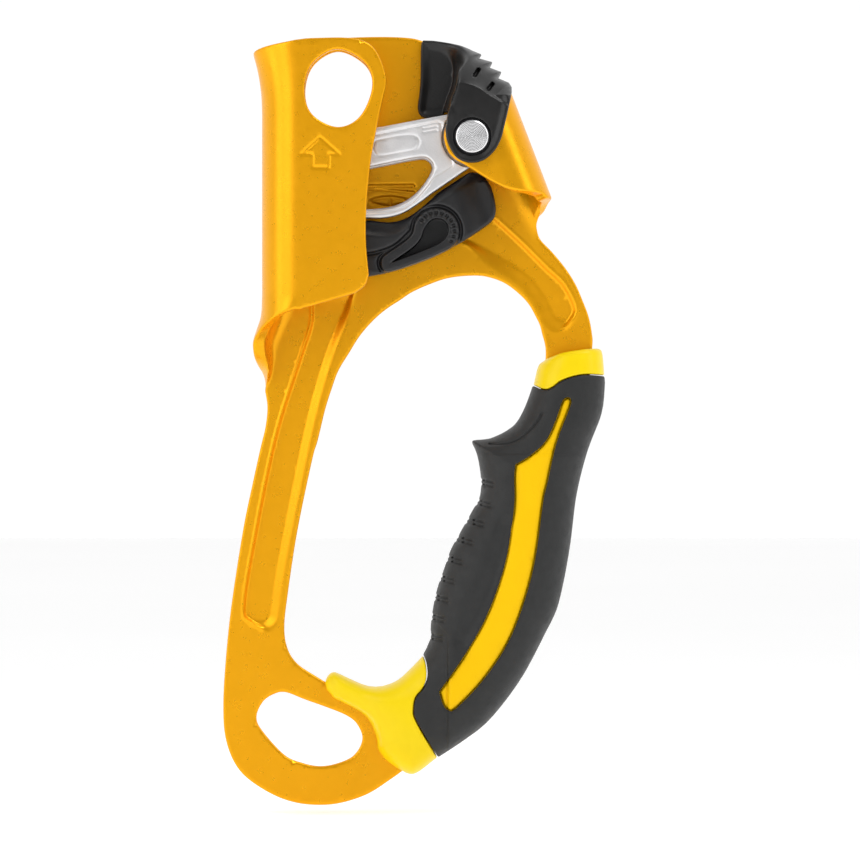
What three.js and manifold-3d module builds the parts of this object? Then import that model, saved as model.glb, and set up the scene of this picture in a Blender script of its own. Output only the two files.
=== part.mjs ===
// Handled rope ascender, right-hand version. Millimetres, +Z up along the rope, +X towards the
// handle, and the open front faces -Y. The origin is the rope's axis at the height of the cam's axle.
import * as THREE from 'three';
import { mergeVertices } from 'three/addons/utils/BufferGeometryUtils.js';
import Module from 'manifold-3d';

const wasm = await Module();
wasm.setup();

// ---------------------------------------------------------------- driving dimensions
const SHEET = 3; // thickness of the aluminium sheet
const FOLD_OUTER = 9.5; // outside radius of the sheet's two folds
const FOLD_INNER = FOLD_OUTER - SHEET;
const BACK_FRONT = FOLD_INNER; // Y of the back plate's front face
const BACK_REAR = FOLD_OUTER;
const BACK_MIDDLE = (BACK_FRONT + BACK_REAR) / 2;
const GAP = 0.3; // clearance between pieces that touch
const GROOVE_DEPTH = 1.2; // how far the stiffening grooves are pressed to the rear

const AXLE = { x: 42.3, z: 0 }; // the cam's axle
const AXLE_RADIUS = 3;
const AXLE_HEAD_RADIUS = 4.05;
const BUSHING_RADIUS = 4.4;
const HUB_RADIUS = 6.2;
const CAM_HALF = 5.2; // half of the cam's width along Y

const CATCH_PIVOT = { x: 11.5, z: -25.5 };
const CATCH_PIN_RADIUS = 1.5;
const CATCH_FRONT = -4.5;
const CATCH_POCKET_FLOOR = 1.2;
const CATCH_REAR = 3.8;
const CATCH_END_HALF = 2.8; // half width of the catch's right end, which swings into the ear's fold

const COVER_FRONT = -11.5; // the head cover's outermost faces along Y
const COVER_REAR = 12;
const COVER_WALL = 2.3;
const COVER_PIN = { x: 32.8, z: 16 }; // joins the two cover shells through the plate
const COVER_PIN_RADIUS = 1.4;
const COVER_PIN_FRONT = 4.9; // bottom of the pin's pocket in the front shell
const COVER_PIN_REAR = COVER_REAR - 1; // and in the rear shell
const EAR_TOP = 9.3; // height of the ear's straight upper edge

const WASHER_RADIUS = 4.7;
const WASHER_THICK = 0.8;
const WASHER_FRONT = -10.9;
const HEAD_FRONT = -12.4; // outermost face of the axle's turned head
const HEAD_REAR = 12.4; // outermost face of its formed head
const HEAD_REAR_THICK = 1.5;
const CATCH_HEAD_RADIUS = 2.6;
const CATCH_HEAD_FRONT = -6.1;
const CATCH_PIN_REAR = 6.1;
const SPRING_ROOM = 7.4; // radius of the space round each torsion spring
const CUT = 20; // how far cutting tools reach along Y, past everything

const GRIP_HALF = 12; // half of the grip's thickness along Y
const RUBBER = 1.4; // thickness of the rubber skin

// ---------------------------------------------------------------- shape helpers
const point = ([x, z]) => new THREE.Vector2(x, z);

// A smooth open curve through the given points.
function curve(points, pieces) {
  return new THREE.SplineCurve(points.map(point)).getSpacedPoints(pieces);
}

// A smooth closed curve through the given points.
function loop(points, pieces) {
  const space = points.map(([x, z]) => new THREE.Vector3(x, z, 0));
  const closed = new THREE.CatmullRomCurve3(space, true);
  return closed.getSpacedPoints(pieces).slice(0, -1).map((p) => new THREE.Vector2(p.x, p.y));
}

// Joins curves into one outline and drops the points that meet.
function join(...runs) {
  const all = runs.flat();
  return all.filter((p, i) => p.distanceTo(all[(i + 1) % all.length]) > 0.01);
}

function solidOf(geometry) {
  geometry.deleteAttribute('normal');
  geometry.deleteAttribute('uv');
  const merged = mergeVertices(geometry, 1e-4);
  const mesh = new wasm.Mesh({
    numProp: 3,
    vertProperties: new Float32Array(merged.attributes.position.array),
    triVerts: new Uint32Array(merged.index.array),
  });
  return new wasm.Manifold(mesh);
}

// An outline in the XZ plane made solid between two Y planes, less its holes.
function prism(outline, yFront, yRear, holes = []) {
  const shape = new THREE.Shape(outline);
  const geometry = new THREE.ExtrudeGeometry(shape, { depth: yRear - yFront, bevelEnabled: false });
  geometry.rotateX(Math.PI / 2);
  geometry.translate(0, yRear, 0);
  const holeSolids = holes.map((hole) => prism(hole, yFront - 1, yRear + 1));
  return holeSolids.reduce((solid, hole) => solid.subtract(hole), solidOf(geometry));
}

function box(low, high) {
  const size = high.map((value, i) => value - low[i]);
  const geometry = new THREE.BoxGeometry(...size);
  geometry.translate(...low.map((value, i) => value + size[i] / 2));
  return solidOf(geometry);
}

// A round bar along Y.
function bar(centre, radius, yFront, yRear, sides = 24) {
  const geometry = new THREE.CylinderGeometry(radius, radius, yRear - yFront, sides);
  geometry.translate(centre.x, (yFront + yRear) / 2, centre.z);
  return solidOf(geometry);
}

// A closed skin over rings of points, each ring given as [x, y, z] triples, with flat ends.
function loft(rings, endTriangles) {
  const count = rings[0].length;
  const positions = rings.flat(2);
  const faces = [];
  for (let r = 0; r + 1 < rings.length; r += 1) {
    for (let i = 0; i < count; i += 1) {
      const next = (i + 1) % count;
      const [a, b] = [r * count + i, r * count + next];
      faces.push(a, b, b + count, a, b + count, a + count);
    }
  }
  const last = (rings.length - 1) * count;
  for (const [a, b, c] of endTriangles) {
    faces.push(a, c, b, last + a, last + b, last + c);
  }
  const geometry = new THREE.BufferGeometry();
  geometry.setAttribute('position', new THREE.Float32BufferAttribute(positions, 3));
  geometry.setIndex(faces);
  const solid = solidOf(geometry);
  return solid.volume() > 0 ? solid : loft(rings.toReversed(), endTriangles);
}

// A wire along a curve, with round section and closed ends.
function wire(path, radius, steps) {
  const section = new THREE.Shape();
  section.absarc(0, 0, radius, 0, 2 * Math.PI);
  const options = { steps, extrudePath: path, bevelEnabled: false, curveSegments: 3 };
  return solidOf(new THREE.ExtrudeGeometry(section, options));
}

// A coil round a Y axis with two straight legs, as one curve.
class TorsionCoil extends THREE.Curve {
  constructor(centre, radius, yStart, pitch, turns, leg) {
    super();
    Object.assign(this, { centre, radius, yStart, pitch, turns, leg });
  }

  getPoint(t) {
    const legShare = 0.12;
    const along = Math.min(Math.max((t - legShare) / (1 - 2 * legShare), 0), 1);
    const angle = 2 * Math.PI * this.turns * along;
    const out = t < legShare ? t / legShare - 1 : Math.max(0, (t - 1 + legShare) / legShare);
    const x = this.centre.x + this.radius * Math.cos(angle) - out * this.leg * Math.sin(angle);
    const z = this.centre.z + this.radius * Math.sin(angle) + out * this.leg * Math.cos(angle);
    return new THREE.Vector3(x, this.yStart + this.pitch * this.turns * along, z);
  }
}

// ---------------------------------------------------------------- frame
const cheekTop = [[-13, 19.9], [-3.6, 23.1], [3.8, 24.3], [12.2, 24.3]];
const cheekBottom = [[-13, -52], [-10.5, -48.4], [-3.6, -43.7], [3.8, -41.3], [13.4, -38.5]];

const cheekOutline = join(
  curve([...cheekTop, [16.9, 22.9], [19.6, 19.4], [21.2, 13.8], [20.1, 8.1]], 22),
  curve([[20.1, 8.1], [17.4, -6], [16.2, -25.2], [16.9, -33.9]], 8),
  curve([[16.9, -33.9], [15.9, -36.6], [13.4, -38.5]], 5),
  curve(cheekBottom.toReversed(), 10),
);

const plateOutline = join(
  curve([[0, 23.8], [10, 24.9], [20, 25.2], [31, 24.6], [40, 21.4], [46.5, 15.5], [48.5, 9]], 14),
  curve([[46.5, 7], [54.2, -13]], 1),
  curve([[54.2, -17.5], [58.4, -20.8], [58.8, -24.2], [65.5, -32.1], [71.2, -44], [72.1, -52],
    [70.5, -66], [64.8, -88], [60.3, -113], [50, -132.5], [33, -151], [24.8, -156.7]], 34),
  curve([[24.8, -156.7], [16.7, -162.4], [5.3, -164.9], [-6.8, -162.4], [-16.4, -154.5],
    [-19.2, -143.5], [-18.1, -124.9], [-12.5, -87], [-8.8, -69.6], [-8.8, -63], [-9.8, -58]], 34),
  curve([[-9.8, -58], [-9.2, -55], [-0.2, -42]], 4),
);

const handleHole = loop([[24.3, -40], [31.7, -36.1], [42.3, -33.9], [51, -36.1], [55.6, -40],
  [59.6, -47.9], [60.4, -56], [55.7, -78], [51, -102], [44, -121], [33, -134], [18, -139.5],
  [3.3, -132.8], [-1.5, -129.7], [-4.1, -124], [-3.3, -113], [-0.9, -97.3], [2.8, -79.5],
  [6, -67.1], [9.3, -57.4], [14.6, -48.8], [19.3, -43.9]], 56);

const upperHole = loop([[0.95, 11.4], [3.6, 18.7], [9.2, 21.4], [15.7, 18.5], [17.9, 13.1],
  [15.7, 6.4], [10.1, 2.1], [3.9, 5]], 32);

const lowerHole = loop([[-11, -143.2], [-9.5, -139.5], [-3.8, -137], [6.3, -140.7],
  [13.9, -144.6], [15.2, -148.6], [13.2, -152.5], [4.8, -155.3], [-4.1, -152.5],
  [-9.5, -146.6]], 34);

// Centre lines of the two pressed grooves, with the half width at each end.
const legGroove = { line: [[8, -41], [4.7, -51], [-3, -74.6], [-9, -104.2], [-10.7, -116]], half: 3.1 };
const armGroove = {
  line: [[44, -23.5], [50.5, -27], [57.4, -32.6], [61.6, -37.6], [64.3, -42.2]],
  half: 2.6,
};

// How far the channel's fold leans outward at its two mouths.
function channelFlare(z) {
  const top = Math.max(0, z - 5) / 16;
  const bottom = THREE.MathUtils.smoothstep(-z, 39, 51);
  return 2.2 * top * top + 2.5 * bottom;
}

// Where the flat plate starts to bend into the channel, left of which the sheet curves forward.
function channelStart(z) {
  return -9.2 * THREE.MathUtils.smoothstep(-z, 42, 58);
}

// The fold's section, a half ring whose ends reach into the flat plates on both sides.
function foldSection(reach, sides = 12) {
  const arc = (radius, from, to) => Array.from({ length: sides + 1 }, (_, i) => {
    const angle = from + ((to - from) * i) / sides;
    return [-radius * Math.sin(angle), radius * Math.cos(angle)];
  });
  return [[reach, FOLD_OUTER], ...arc(FOLD_OUTER, 0, Math.PI), [reach, -FOLD_OUTER],
    [reach, -FOLD_INNER], ...arc(FOLD_INNER, Math.PI, 0), [reach, FOLD_INNER]];
}

function sectionTriangles(section) {
  return THREE.ShapeUtils.triangulateShape(section.map(point), []);
}

function channelFold() {
  const section = foldSection(1);
  const levels = [-58, -55, -52, -49, -46, -43, -40, -36, 5, 10, 14, 18, 22, 26];
  const rings = levels.map((z) => {
    const start = channelStart(z);
    const stretch = (FOLD_OUTER + channelFlare(z) + start) / FOLD_OUTER;
    return section.map(([x, y]) => [x < 0 ? start + x * stretch : x, y, z]);
  });
  return loft(rings, sectionTriangles(section));
}

// The ear folds about an axis that leans outward going down.
const EAR_LEAN = THREE.MathUtils.degToRad(21);
const EAR_AXIS_AT_AXLE = AXLE.x + 3.8;

function earFold() {
  const section = foldSection(1);
  const ends = [12, -26];
  const rings = ends.map((along) => section.map(([across, y]) => [
    EAR_AXIS_AT_AXLE - along * Math.sin(EAR_LEAN) - across * Math.cos(EAR_LEAN),
    y,
    along * Math.cos(EAR_LEAN) - across * Math.sin(EAR_LEAN),
  ]));
  return loft(rings, sectionTriangles(section));
}

const earOutline = join(
  curve([[62, EAR_TOP], [44, EAR_TOP], [37.6, 5.9], [35.4, 1], [36.2, -3.3], [38.1, -5.5], [40.3, -6.8]], 12),
  curve([[40.3, -6.8], [47.5, -11.2], [52.4, -13.1], [59.8, -13.5], [66, -14.5]], 8),
);

// A strip of constant width with round ends round a centre line.
function strip({ line, half }, pieces) {
  const centre = curve(line, pieces);
  const side = (sign) => centre.map((p, i) => {
    const before = centre[Math.max(i - 1, 0)];
    const after = centre[Math.min(i + 1, centre.length - 1)];
    const along = after.clone().sub(before).normalize();
    return new THREE.Vector2(p.x - sign * half * along.y, p.y + sign * half * along.x);
  });
  const cap = (from, to) => {
    const middle = from.clone().add(to).multiplyScalar(0.5);
    const eighths = [1, 2, 3].map((i) => (-i * Math.PI) / 4);
    return eighths.map((angle) => from.clone().rotateAround(middle, angle));
  };
  const [left, right] = [side(1), side(-1)];
  return [...left, ...cap(left.at(-1), right.at(-1)), ...right.toReversed(), ...cap(right[0], left[0])];
}

// Keeps the rear half of a fold above a slanting cut, where the sheet's edge runs back to the plate.
function trimmedFoldRear(fold, zAtMiddle, zAtRear) {
  const side = [[0, zAtMiddle], [BACK_REAR + 1, zAtRear], [BACK_REAR + 1, 40], [0, 40]];
  const shape = new THREE.Shape(side.map(point));
  const geometry = new THREE.ExtrudeGeometry(shape, { depth: 120, bevelEnabled: false });
  geometry.rotateX(Math.PI / 2);
  geometry.rotateZ(Math.PI / 2);
  geometry.translate(-30, 0, 0);
  return fold.intersect(solidOf(geometry));
}

function framePlate() {
  const axleHole = bar(AXLE, AXLE_RADIUS + GAP, -CUT, CUT);
  const pinHole = bar(COVER_PIN, COVER_PIN_RADIUS + GAP, 0, CUT, 16);
  const back = prism(plateOutline, BACK_FRONT, BACK_REAR, [handleHole, lowerHole]);
  const cheek = prism(cheekOutline, -FOLD_OUTER, -FOLD_INNER)
    .intersect(box([0, -CUT, -80], [40, 0, 40]));
  const channel = channelFold();
  const channelFront = channel.intersect(prism(cheekOutline, -CUT, 0.01));
  const rearLimit = join(curve(cheekTop, 8), curve([[12, -60], [-13, -60]], 1));
  const channelRear = trimmedFoldRear(channel, -51.5, -57.5).intersect(prism(rearLimit, -1, CUT));
  const ear = earFold();
  const earFront = ear.intersect(prism(earOutline, -CUT, 0.01));
  const flap = prism(earOutline, -FOLD_OUTER, -FOLD_INNER)
    .intersect(prism(earFlapSide(), -CUT, 0));
  const earRear = trimmedFoldRear(ear, -15.3, -19.5).intersect(box([30, -1, -26], [70, CUT, EAR_TOP]));
  const grooves = [strip(legGroove, 10), strip(armGroove, 8)];
  let frame = back.add(cheek).add(channelFront).add(channelRear).add(earFront).add(earRear).add(flap);
  for (const groove of grooves) {
    frame = frame.add(prism(groove, BACK_REAR - 0.1, BACK_REAR + GROOVE_DEPTH))
      .subtract(prism(groove, BACK_FRONT - 1, BACK_FRONT + GROOVE_DEPTH));
  }
  return frame.subtract(prism(upperHole, -CUT, CUT)).subtract(axleHole).subtract(pinHole);
}

// The flat side of the ear's fold axis, which bounds the ear's flat front flap.
function earFlapSide() {
  const reach = 1;
  const axisX = (z) => EAR_AXIS_AT_AXLE - z * Math.tan(EAR_LEAN) + reach;
  return [[20, 30], [axisX(30), 30], [axisX(-30), -30], [20, -30]].map(point);
}

// ---------------------------------------------------------------- head cover
const coverRight = [[51.9, 9.8], [50.2, 2.4], [48, -3.3], [42.3, -6.5], [37.8, -4.4], [35.8, 0.7],
  [35.7, 5.4]];
const coverTop = [[29.7, 24.3], [33.7, 24.1], [39.4, 22.9], [44.5, 20.9]];
const thumbSteps = [[44.6, 20.2], [47.3, 19], [47.3, 18.2], [49.5, 16.2], [49.5, 15.3],
  [51.3, 13.5], [52.3, 11.5]];

const coverOutline = join(
  curve(coverTop, 6),
  thumbSteps.map(point),
  curve(coverRight, 16),
  curve([[35.7, 5.4], [31, 5.1], [29, 7.5], [29.6, 14], [29.7, 24.3]], 8),
);

const forwardOutline = join(
  curve([[36.4, 23.6], [39.4, 22.9], [44.5, 20.9]], 3),
  thumbSteps.map(point),
  curve(coverRight, 16),
  curve([[35.7, 5.4], [36.9, 8.1], [38.9, 13.8], [38.4, 19.9], [36.4, 23.6]], 8),
);

function headCoverFront() {
  const clearOfEar = EAR_TOP + 0.5;
  const panelFront = BACK_FRONT - GAP - COVER_WALL;
  const panel = prism(coverOutline, panelFront, BACK_FRONT - GAP)
    .intersect(box([20, 0, 5], [60, CUT, 30]))
    .subtract(box([34, 0, 0], [60, CUT, clearOfEar]));
  const forward = prism(forwardOutline, COVER_FRONT, BACK_FRONT - GAP);
  const behindTongue = box([20, -FOLD_OUTER - GAP, -20], [70, CUT, EAR_TOP + GAP])
    .add(box([20, -FOLD_OUTER - GAP, -20], [70, panelFront, clearOfEar]));
  const pinPocket = bar(COVER_PIN, COVER_PIN_RADIUS + GAP, COVER_PIN_FRONT, CUT, 16);
  const headPocket = bar(AXLE, WASHER_RADIUS + GAP, -CUT, 0);
  return forward.subtract(behindTongue).add(panel).subtract(pinPocket).subtract(headPocket);
}

function headCoverRear() {
  const behindPlate = BACK_REAR + GAP;
  const shell = prism(coverOutline, BACK_FRONT, COVER_REAR)
    .intersect(box([20, 0, 5.3], [60, CUT, 30]));
  const ring = bar(AXLE, WASHER_RADIUS + 2.7, behindPlate, COVER_REAR);
  const bridge = prism(coverOutline, behindPlate, COVER_REAR)
    .intersect(box([36, 0, -2], [48.5, CUT, 6]));
  const plateRoom = box([20, 0, -10], [60, behindPlate, EAR_TOP + 0.5])
    .add(prism(coverPlateSpace, 0, behindPlate));
  const pinPocket = bar(COVER_PIN, COVER_PIN_RADIUS + GAP, 0, COVER_PIN_REAR, 16);
  const headPocket = bar(AXLE, WASHER_RADIUS + GAP, 0, CUT);
  return shell.subtract(plateRoom).add(ring).add(bridge).subtract(pinPocket).subtract(headPocket);
}

// Room for the plate's corner inside the rear cover.
const coverPlateSpace = join(
  curve([[20, 25.7], [31, 25], [40.3, 21.8], [47, 15.8], [49, 8]], 10),
  [[20, 8]].map(point),
);

function coverPin() {
  return bar(COVER_PIN, COVER_PIN_RADIUS, COVER_PIN_FRONT + GAP, COVER_PIN_REAR - GAP, 16);
}

// ---------------------------------------------------------------- axle group
function camAxle() {
  const formedFront = HEAD_REAR - HEAD_REAR_THICK;
  const shaft = bar(AXLE, AXLE_RADIUS, WASHER_FRONT - GAP, formedFront, 32);
  const head = bar(AXLE, AXLE_HEAD_RADIUS, HEAD_FRONT, WASHER_FRONT - GAP, 32);
  const formed = bar(AXLE, AXLE_HEAD_RADIUS, formedFront, HEAD_REAR, 32);
  return shaft.add(head).add(formed);
}

function washer(yFront, yRear) {
  return bar(AXLE, WASHER_RADIUS, yFront, yRear)
    .subtract(bar(AXLE, AXLE_RADIUS + GAP, -CUT, CUT));
}

function camBushing() {
  return bar(AXLE, BUSHING_RADIUS, -FOLD_INNER + GAP, FOLD_INNER - GAP)
    .subtract(bar(AXLE, AXLE_RADIUS + GAP, -CUT, CUT));
}

const CAM_SPRING = { radius: 5.4, wire: 0.45, y: -5.4, pitch: 1.05, turns: 2.25, leg: 4.5 };
const CATCH_SPRING = { radius: 2.4, wire: 0.3, y: 0.7, pitch: 0.72, turns: 1.75, leg: 3.5 };

function torsionSpring(centre, spring) {
  const { radius, y, pitch, turns, leg } = spring;
  return wire(new TorsionCoil(centre, radius, y, pitch, turns, leg), spring.wire, 44);
}

// ---------------------------------------------------------------- cam
const camOutline = join(
  curve([[42.3, 6.1], [35.8, 5.4], [19.1, 2.4], [4, -0.3]], 3),
  curve([[4, -0.3], [0.6, -2.4], [-1.6, -7], [-2.6, -12.5], [-1.4, -17.6], [1.5, -19.4]], 12),
  curve([[1.5, -19.4], [10, -19.6], [16.4, -19.6], [24.8, -18.7], [32.2, -13.8]], 8),
  curve([[32.2, -13.8], [41.4, -7.6], [46.7, -4.3]], 1),
);

const camWindow = loop([[9.5, -9.1], [17.6, -7.5], [29.6, -5.3], [32.3, -7.8], [29.2, -12.9],
  [25.8, -15.6], [21.3, -17.1], [15, -17.4], [9, -16.2], [7, -12.6]], 30);

const TOOTH = { length: 1.5, radius: 0.75, tilt: THREE.MathUtils.degToRad(24) };

// One cone that leans down out of the cam's nose at a point of the outline.
function tooth(spot, outward, y) {
  const geometry = new THREE.ConeGeometry(TOOTH.radius, TOOTH.length, 6);
  geometry.translate(0, TOOTH.length / 2 - 0.2, 0);
  geometry.rotateX(Math.PI / 2);
  geometry.rotateY(Math.atan2(outward.x, outward.y) - TOOTH.tilt);
  geometry.translate(spot.x, y, spot.y);
  return solidOf(geometry);
}

function cam() {
  const tab = prism(strip({ line: [[11.5, -17], [11.5, -25.5]], half: 3.4 }, 2), 2.8, CAM_HALF);
  const body = prism(camOutline, -CAM_HALF, CAM_HALF, [camWindow]);
  const springRoom = bar(AXLE, SPRING_ROOM, -CUT, -2.2);
  const nose = curve([[0.2, -3.1], [-1.6, -7], [-2.6, -12.5], [-1.6, -17]], 6);
  let solid = body.add(bar(AXLE, HUB_RADIUS, -CAM_HALF, CAM_HALF, 32)).add(tab);
  nose.forEach((spot, i) => {
    const along = nose[Math.min(i + 1, 6)].clone().sub(nose[Math.max(i - 1, 0)]).normalize();
    const outward = new THREE.Vector2(along.y, -along.x);
    const columns = i % 2 === 0 ? [-3, 0, 3] : [-1.5, 1.5];
    for (const y of columns) {
      solid = solid.add(tooth(spot, outward, y));
    }
  });
  return solid.subtract(springRoom).subtract(bar(AXLE, BUSHING_RADIUS + GAP, -CUT, CUT))
    .subtract(catchPinHole());
}

// ---------------------------------------------------------------- safety catch
const catchOutline = join(
  curve([[11.5, -20.5], [16.4, -20.4], [22, -21], [28.1, -18.9], [33.9, -13.4]], 10),
  curve([[33.9, -13.4], [41.7, -8.5], [45, -9.4], [46.8, -11.6], [48.2, -16.3], [46.3, -21.3]], 10),
  curve([[46.3, -21.3], [39.4, -26], [33.2, -29.3], [24.8, -32.4], [17.1, -34.3], [11, -32.6]], 8),
  curve([[11, -32.6], [7.3, -28.2], [6.6, -24.6], [8.2, -21.8], [11.5, -20.5]], 8),
);

const catchPocket = loop([[33.4, -20], [36.2, -22.8], [33.6, -25.9], [28.6, -28.6], [22.8, -31],
  [25.4, -28.4], [29, -25.2], [30.9, -21.6]], 24);

function catchPinHole() {
  return bar(CATCH_PIVOT, CATCH_PIN_RADIUS + GAP, -CUT, CUT, 16);
}

function catchBody() {
  const body = prism(catchOutline, CATCH_FRONT, CATCH_REAR);
  const springRoom = bar(CATCH_PIVOT, SPRING_ROOM, 0, CUT);
  const end = [[38, 0], [56, 0], [56, -30], [47, -30]].map(point);
  return body.subtract(springRoom)
    .subtract(prism(catchPocket, -CUT, CATCH_POCKET_FLOOR))
    .subtract(prism(end, -CUT, -CATCH_END_HALF))
    .subtract(prism(end, CATCH_END_HALF, CUT))
    .subtract(catchPinHole());
}

function catchRivet() {
  const shaft = bar(CATCH_PIVOT, CATCH_PIN_RADIUS, CATCH_HEAD_FRONT + 0.5, CATCH_PIN_REAR - 0.2, 16);
  const head = bar(CATCH_PIVOT, CATCH_HEAD_RADIUS, CATCH_HEAD_FRONT, CATCH_HEAD_FRONT + 0.7, 20);
  return shaft.add(head);
}

function catchWasher() {
  return bar(CATCH_PIVOT, CATCH_HEAD_RADIUS, CAM_HALF + GAP, CATCH_PIN_REAR, 20)
    .subtract(catchPinHole());
}

// ---------------------------------------------------------------- grip
// Each station gives the grip's left and right edge, and a share of its full thickness.
const gripStations = [
  [[60.1, -55.2], [73.8, -51.8], 0.72],
  [[58.4, -57], [75, -55.6], 0.84],
  [[57.4, -61], [75.2, -60], 0.88],
  [[55, -67.4], [74.6, -67], 0.92],
  [[52.2, -71.4], [72.6, -73], 0.95],
  [[47, -74.1], [70.9, -77.5], 0.97],
  [[42.3, -74.9], [70, -81], 0.98],
  [[43.6, -78], [69, -85], 1],
  [[44.5, -83.5], [68, -90], 1],
  [[44.2, -88.8], [67, -97], 1],
  [[41.2, -94.3], [66, -104], 1],
  [[37.1, -101.7], [64.8, -110], 1],
  [[35, -107.5], [63, -117], 1],
  [[33, -115], [60, -123.5], 1],
  [[32.1, -121], [56, -131], 1],
  [[31.5, -125.5], [51, -138.5], 0.97],
  [[30.2, -127.9], [45, -145.3], 0.94],
  [[26.8, -131.3], [38.5, -150.5], 0.9],
  [[23.7, -134], [33.9, -153.2], 0.86],
  [[21, -135.2], [27.5, -157.3], 0.82],
  [[18, -135.5], [21, -153.6], 0.76],
  [[16.4, -135.3], [18.6, -149.2], 0.7],
  [[14.5, -134.6], [16.5, -143.5], 0.62],
  [[12.7, -133.8], [13, -141.1], 0.55],
  [[9.5, -132.2], [8.6, -139], 0.48],
  [[7, -132.4], [6.3, -136.5], 0.36],
];

// The grip's skin between two stations, drawn in by an inset on every side. `reach` moves the
// first and last station outward along the grip, so that a cutter passes the ends.
function gripSkin(first, last, inset, reach = 0, sides = 20) {
  const part = gripStations.slice(first, last + 1);
  const rings = part.map(([left, right, share], i) => {
    const [l, r] = [point(left), point(right)];
    const across = r.clone().sub(l);
    const half = across.length() / 2 - inset;
    const direction = across.normalize();
    const centre = l.clone().add(r).multiplyScalar(0.5);
    const end = i === 0 ? -reach : (i === part.length - 1 ? reach : 0);
    centre.add(new THREE.Vector2(direction.y, -direction.x).multiplyScalar(end));
    const thick = GRIP_HALF * share - inset;
    return Array.from({ length: sides }, (_, k) => {
      const angle = (2 * Math.PI * k) / sides;
      const [c, s] = [Math.cos(angle), Math.sin(angle)];
      const wide = half * Math.sign(c) * Math.abs(c) ** 0.75;
      const deep = thick * Math.sign(s) * Math.abs(s) ** 0.75;
      return [centre.x + wide * direction.x, BACK_MIDDLE + deep, centre.y + wide * direction.y];
    });
  });
  const fan = Array.from({ length: sides - 2 }, (_, i) => [0, i + 1, i + 2]);
  return loft(rings, fan);
}

const COLLAR_END = 2;
const GUARD_START = 16;

const inlayWindow = join(
  curve([[66.5, -64], [64.3, -65.2], [63, -69.6], [59.8, -75.6], [52.7, -80.7]], 8),
  curve([[52.7, -80.7], [52.7, -90.6], [48.7, -110.8], [41.1, -126.6], [33.9, -137]], 8),
  curve([[33.9, -137], [36.4, -141.4], [45, -133.8], [55, -115], [59.8, -90.1], [63, -75.1],
    [66.7, -65.4], [66.5, -64]], 14),
);

// The plate's own shape inside the grip, with clearance all round.
function plateSpace() {
  const slab = prism(plateOutline, BACK_FRONT - GAP, BACK_REAR + GAP, [handleHole]);
  const sideways = [[GAP, 0], [-GAP, 0], [0, GAP], [0, -GAP]];
  return sideways.reduce((all, [dx, dz]) => all.add(slab.translate(dx, 0, dz)), slab);
}

function gripPieces() {
  const plate = plateSpace();
  const collar = gripSkin(0, COLLAR_END, 0).subtract(plate);
  const rubberOuter = gripSkin(COLLAR_END, GUARD_START, 0, -GAP / 2);
  const coreSpace = gripSkin(COLLAR_END, GUARD_START, RUBBER, 1);
  const rubber = rubberOuter.subtract(coreSpace).subtract(prism(inlayWindow, -CUT, 2 * CUT));
  const core = gripSkin(COLLAR_END, GUARD_START, RUBBER + GAP, -GAP).subtract(plate);
  const guard = gripSkin(GUARD_START, gripStations.length - 1, 0, -GAP / 2).subtract(plate);
  const coreFront = core.intersect(box([0, -CUT, -200], [100, BACK_MIDDLE - GAP / 2, 0]));
  const coreRear = core.intersect(box([0, BACK_MIDDLE + GAP / 2, -200], [100, 2 * CUT, 0]));
  return { collar, rubber, guard, coreFront, coreRear };
}

// ---------------------------------------------------------------- assembly
function material(color, roughness, metalness = 0) {
  return new THREE.MeshStandardMaterial({ color, roughness, metalness });
}

const gold = material(0xe3a008, 0.35, 0.8);
const steel = material(0xcfd1d3, 0.3, 1);
const darkSteel = material(0x4a4b4d, 0.4, 0.9);
const blackPlastic = material(0x2b2b2c, 0.5);
const blackRubber = material(0x3c3d3d, 0.75);
const lemonPlastic = material(0xf2d50f, 0.35);
const yellowPlastic = material(0xf0bf0a, 0.45);

const group = new THREE.Group();

function place(name, solid, look) {
  const mesh = solid.getMesh();
  const geometry = new THREE.BufferGeometry();
  geometry.setAttribute('position', new THREE.Float32BufferAttribute(mesh.vertProperties, 3));
  geometry.setIndex(Array.from(mesh.triVerts));
  geometry.computeVertexNormals();
  const piece = new THREE.Mesh(geometry, look);
  piece.name = name;
  group.add(piece);
}

const grip = gripPieces();

place('frame_plate', framePlate(), gold);
place('head_cover_front', headCoverFront(), blackPlastic);
place('head_cover_rear', headCoverRear(), blackPlastic);
place('cover_pin', coverPin(), steel);
place('cam_axle', camAxle(), steel);
place('axle_front_washer', washer(WASHER_FRONT, WASHER_FRONT + WASHER_THICK), darkSteel);
place('axle_rear_washer', washer(BACK_REAR + GAP, BACK_REAR + GAP + WASHER_THICK), steel);
place('cam_bushing', camBushing(), steel);
place('cam_spring', torsionSpring(AXLE, CAM_SPRING), darkSteel);
place('cam', cam(), steel);
place('catch_rivet', catchRivet(), steel);
place('catch_rivet_washer', catchWasher(), steel);
place('catch_spring', torsionSpring(CATCH_PIVOT, CATCH_SPRING), darkSteel);
place('catch_body', catchBody(), blackPlastic);
place('top_collar', grip.collar, lemonPlastic);
place('finger_guard', grip.guard, lemonPlastic);
place('grip_core_front', grip.coreFront, yellowPlastic);
place('grip_core_rear', grip.coreRear, yellowPlastic);
place('grip_rubber', grip.rubber, blackRubber);

export default group;
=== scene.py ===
"""Looks of the handled rope ascender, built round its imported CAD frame.

Moulded, cast and folded pieces are solids given by a signed distance, negative inside, which
OpenVDB turns into meshes. Turned parts are profiles swept round an axis, and springs are swept wires.
Lengths are in millimetres until a mesh is made.
"""
import math

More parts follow.
